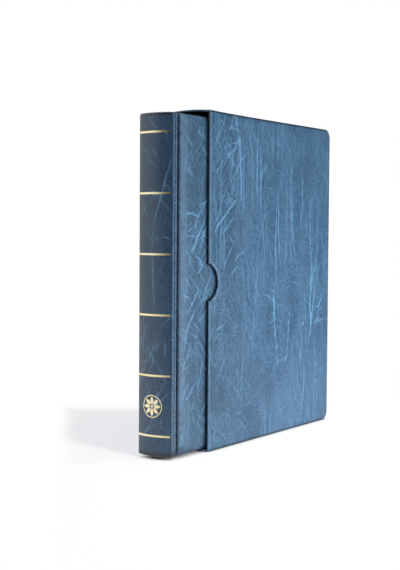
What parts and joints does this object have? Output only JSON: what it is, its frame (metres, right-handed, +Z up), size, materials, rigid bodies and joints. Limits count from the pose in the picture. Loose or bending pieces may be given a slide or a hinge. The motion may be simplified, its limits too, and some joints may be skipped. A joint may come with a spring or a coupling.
{
  "type": "binder with slipcase",
  "caption": "Padded leatherette ring binder with a rounded, foil-lined spine, standing partly drawn out of its open-mouthed slipcase with thumb notches; it slides out and its rings open",
  "frame": {"origin": "the middle of the slipcase's foot, on the surface it stands on", "axes": "X runs from the slipcase's open mouth to its closed rear, Y from its front panel to its back panel, Z up; the binder is drawn out towards -X"},
  "size_m": [0.3066, 0.046, 0.325],
  "materials": {
    "leatherette": "slate-blue leatherette, satin, grained with fine veins",
    "greyboard": "plain greyboard inside the covering",
    "black_paper": "smooth black lining paper",
    "pad_foam": "soft foam sheet under the covering",
    "gold_foil": "hot-stamped pale gold foil, satin",
    "nickel_plate": "nickel-plated spring steel, bright",
    "plain_steel": "zinc-plated steel, dull"
  },
  "bodies": {
    "slipcase": {"slipcase_front_board": "greyboard", "slipcase_back_board": "greyboard", "slipcase_edge_board": "greyboard", "slipcase_front_covering": "leatherette", "slipcase_back_covering": "leatherette", "slipcase_rear_covering": "leatherette", "slipcase_top_covering": "leatherette", "slipcase_bottom_covering": "leatherette", "slipcase_front_lining": "black_paper", "slipcase_back_lining": "black_paper", "slipcase_edge_lining": "black_paper"},
    "binder": {"front_cover_board": "greyboard", "back_cover_board": "greyboard", "front_cover_pad": "pad_foam", "back_cover_pad": "pad_foam", "front_cover_covering": "leatherette", "back_cover_covering": "leatherette", "front_endpaper": "black_paper", "back_endpaper": "black_paper", "spine_board": "greyboard", "spine_covering": "leatherette", "front_joint_covering": "leatherette", "back_joint_covering": "leatherette", "spine_lining": "black_paper", "foil_lines": "gold_foil", "foil_rosette": "gold_foil", "ring_rail": "nickel_plate", "rail_rivets": "plain_steel", "lever_pins": "plain_steel"},
    "front_rings": {"front_toggle_plate": "plain_steel", "front_ring_halves": "nickel_plate"},
    "back_rings": {"back_toggle_plate": "plain_steel", "back_ring_halves": "nickel_plate"},
    "upper_lever": {"upper_lever": "nickel_plate"},
    "lower_lever": {"lower_lever": "nickel_plate"}
  },
  "joints": [
    {"name": "binder_slide", "type": "slide", "parent": "slipcase", "child": "binder", "axis": [-1, 0, 0], "range_m": [-0.0575, 0.2]},
    {"name": "front_ring_hinge", "type": "hinge", "parent": "binder", "child": "front_rings", "pos_m": [-0.17688, -0.009, 0.16105], "axis": [0, 0, -1], "range_deg": [0, 13]},
    {"name": "back_ring_hinge", "type": "hinge", "parent": "binder", "child": "back_rings", "pos_m": [-0.17688, 0.009, 0.16105], "axis": [0, 0, 1], "range_deg": [0, 13]},
    {"name": "upper_lever_hinge", "type": "hinge", "parent": "binder", "child": "upper_lever", "pos_m": [-0.17658, 0, 0.29955], "axis": [0, -1, 0], "range_deg": [0, 20]},
    {"name": "lower_lever_hinge", "type": "hinge", "parent": "binder", "child": "lower_lever", "pos_m": [-0.17658, 0, 0.02255], "axis": [0, 1, 0], "range_deg": [0, 20]}
  ],
  "couplings": [
    {"joint": "back_ring_hinge", "follows": "front_ring_hinge", "ratio": 1},
    {"joint": "upper_lever_hinge", "follows": "front_ring_hinge", "ratio": 1.5384},
    {"joint": "lower_lever_hinge", "follows": "front_ring_hinge", "ratio": 1.5384}
  ]
}
